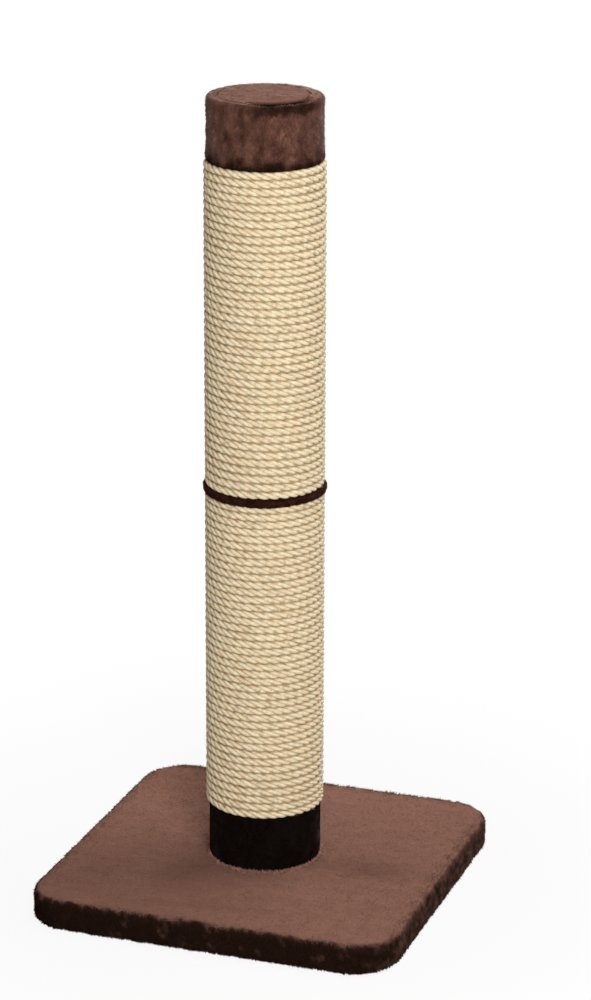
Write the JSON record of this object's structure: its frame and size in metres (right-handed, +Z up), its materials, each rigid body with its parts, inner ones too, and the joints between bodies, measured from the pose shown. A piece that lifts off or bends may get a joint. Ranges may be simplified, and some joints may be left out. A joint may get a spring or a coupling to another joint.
{
  "type": "cat scratching post",
  "caption": "Tall free-standing scratching post: square plush-covered base, sisal-wound post with a plush ring at its joint, and a plush cap.",
  "frame": {"origin": "on the floor under the middle of the base", "axes": "+Z up along the post, +X and +Y along the sides of the base"},
  "size_m": [0.5, 0.5, 1.066],
  "materials": {
    "particle_board": "raw, sanded",
    "paperboard": "raw spiral-wound paper",
    "base_plush": "short plush pile",
    "cap_plush": "short plush pile",
    "dark_plush": "short plush pile",
    "sisal": "twisted natural fibre",
    "nonwoven_sheet": "point-bonded non-woven",
    "zinc_steel": "zinc plated",
    "staple_steel": "galvanised wire"
  },
  "bodies": {
    "root": {"base_board_lower": "particle_board", "base_board_upper": "particle_board", "base_board_screws": "zinc_steel", "base_plush_cover": "base_plush", "base_hem_staples": "staple_steel", "base_underlay": "nonwoven_sheet", "base_bolt": "zinc_steel", "base_spring_washer": "zinc_steel", "base_flat_washer": "zinc_steel", "lower_tube": "paperboard", "lower_bottom_plug": "particle_board", "lower_top_plug": "particle_board", "lower_plug_nails": "zinc_steel", "lower_bottom_tee_nut": "zinc_steel", "lower_top_tee_nut": "zinc_steel", "lower_plush_band": "dark_plush", "lower_sisal_rope": "sisal", "lower_rope_staples": "staple_steel", "joint_disc": "particle_board", "joint_plush_ring": "dark_plush", "joint_stud": "zinc_steel", "upper_tube": "paperboard", "upper_bottom_plug": "particle_board", "upper_top_plug": "particle_board", "upper_plug_nails": "zinc_steel", "upper_bottom_tee_nut": "zinc_steel", "upper_sisal_rope": "sisal", "upper_rope_staples": "staple_steel", "cap_plush_sleeve": "cap_plush", "cap_fold_staples": "staple_steel", "cap_card": "paperboard", "cap_plush_disc": "cap_plush"}
  },
  "joints": []
}
